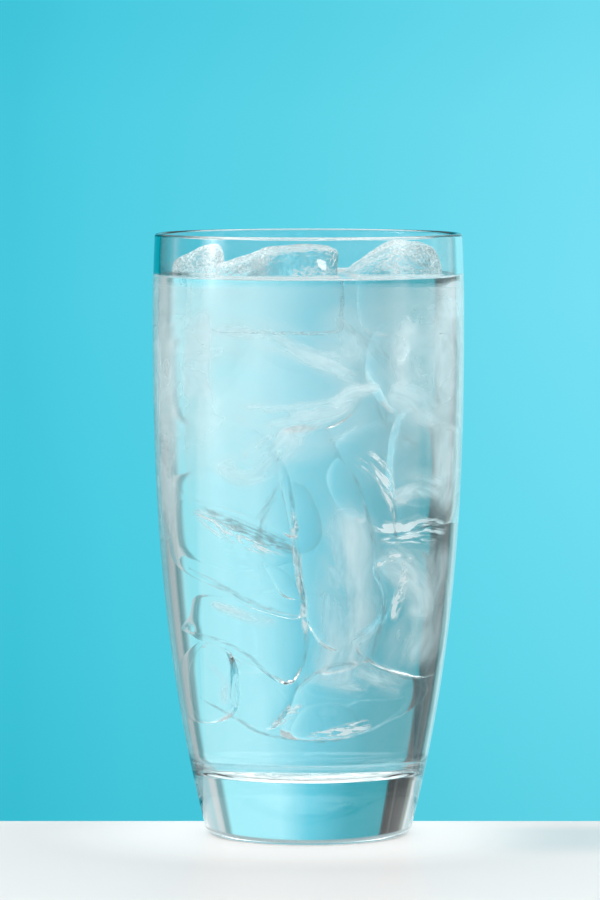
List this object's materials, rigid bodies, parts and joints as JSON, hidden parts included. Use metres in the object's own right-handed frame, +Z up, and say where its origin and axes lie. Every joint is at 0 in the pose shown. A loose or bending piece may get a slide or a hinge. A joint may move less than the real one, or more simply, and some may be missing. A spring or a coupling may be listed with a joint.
{
  "type": "glass of iced water",
  "caption": "Tall clear tapered tumbler with a thick solid foot, filled with water to just below its lip, with lumps of ice that float in the top of the water.",
  "frame": {"origin": "middle of the foot's flat underside, which stands on the table", "axes": "+Z up along the tumbler's axis, -Y towards the front as shown, +X to the right"},
  "size_m": [0.0774, 0.0774, 0.15],
  "materials": {
    "clear_glass": "clear and polished",
    "water": "clear, still water",
    "ice": "wet ice, clear with milky streaks and frosty patches"
  },
  "bodies": {
    "root": {"tumbler": "clear_glass", "water": "water", "ice_left": "ice", "ice_middle": "ice", "ice_right": "ice"}
  },
  "joints": []
}
